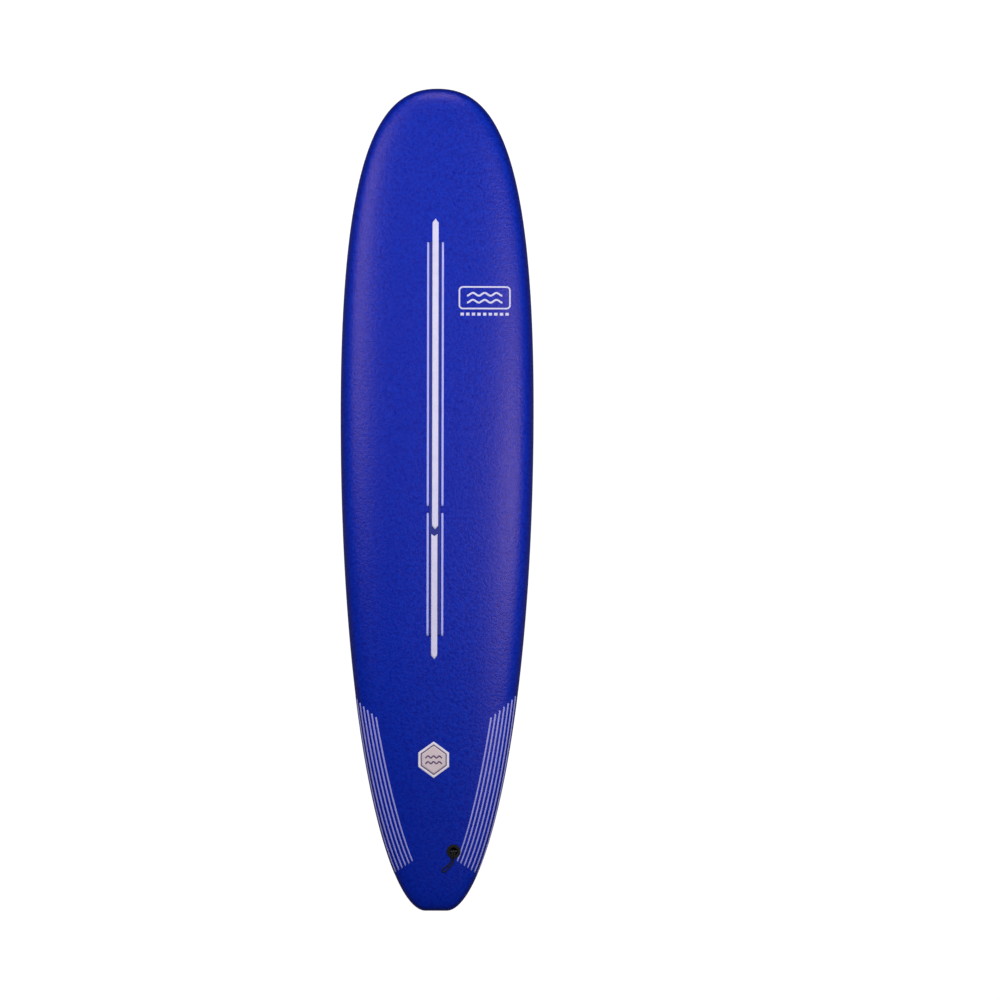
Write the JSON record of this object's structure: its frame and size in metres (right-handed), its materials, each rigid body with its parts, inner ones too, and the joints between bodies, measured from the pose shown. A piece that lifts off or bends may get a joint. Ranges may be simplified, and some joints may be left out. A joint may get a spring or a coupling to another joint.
{
  "type": "longboard surfboard",
  "caption": "Soft-top longboard with a blue foam deck, yellow slick bottom, fin boxes and a leash plug.",
  "frame": {"origin": "middle of the outline, on the lowest line of the bottom", "axes": "+X to the right rail seen from the deck, +Y to the nose, +Z from the bottom to the deck"},
  "size_m": [0.575, 2.4385, 0.1446],
  "materials": {
    "deck_foam": "matte",
    "rail_foam": "matte",
    "slick": "satin",
    "underlay": "matte",
    "core_foam": "matte",
    "stringer_wood": "satin",
    "fin_box_plastic": "satin",
    "insert_foam": "matte",
    "screw_steel": "satin",
    "plug_plastic": "satin",
    "pin_steel": "satin",
    "string_cord": "matte"
  },
  "bodies": {
    "board": {"deck_skin": "deck_foam", "rail_skin_left": "rail_foam", "rail_skin_right": "rail_foam", "bottom_slick": "slick", "bottom_underlay": "underlay", "core_left_outer": "core_foam", "core_left_inner": "core_foam", "core_right_inner": "core_foam", "core_right_outer": "core_foam", "stringer_left": "stringer_wood", "stringer_centre": "stringer_wood", "stringer_right": "stringer_wood", "fin_box_centre": "fin_box_plastic", "fin_box_left": "fin_box_plastic", "fin_box_right": "fin_box_plastic", "fin_block_centre": "insert_foam", "fin_block_left": "insert_foam", "fin_block_right": "insert_foam", "leash_plug_cup": "plug_plastic", "leash_plug_pin": "pin_steel", "leash_plug_block": "insert_foam", "leash_string": "string_cord"},
    "grub_screw_centre_rear": {"grub_screw_centre_rear": "screw_steel"},
    "grub_screw_centre_front": {"grub_screw_centre_front": "screw_steel"},
    "grub_screw_left_rear": {"grub_screw_left_rear": "screw_steel"},
    "grub_screw_left_front": {"grub_screw_left_front": "screw_steel"},
    "grub_screw_right_rear": {"grub_screw_right_rear": "screw_steel"},
    "grub_screw_right_front": {"grub_screw_right_front": "screw_steel"}
  },
  "joints": [
    {"name": "grub_screw_centre_rear_travel", "type": "slide", "parent": "board", "child": "grub_screw_centre_rear", "axis": [0.5, 0.0793, 0.8624], "range_m": [0, 0.002]},
    {"name": "grub_screw_centre_front_travel", "type": "slide", "parent": "board", "child": "grub_screw_centre_front", "axis": [0.5, 0.0793, 0.8624], "range_m": [0, 0.002]},
    {"name": "grub_screw_left_rear_travel", "type": "slide", "parent": "board", "child": "grub_screw_left_rear", "axis": [-0.4772, 0.0688, 0.8761], "range_m": [0, 0.002]},
    {"name": "grub_screw_left_front_travel", "type": "slide", "parent": "board", "child": "grub_screw_left_front", "axis": [-0.4772, 0.0688, 0.8761], "range_m": [0, 0.002]},
    {"name": "grub_screw_right_rear_travel", "type": "slide", "parent": "board", "child": "grub_screw_right_rear", "axis": [0.4772, 0.0688, 0.8761], "range_m": [0, 0.002]},
    {"name": "grub_screw_right_front_travel", "type": "slide", "parent": "board", "child": "grub_screw_right_front", "axis": [0.4772, 0.0688, 0.8761], "range_m": [0, 0.002]}
  ]
}
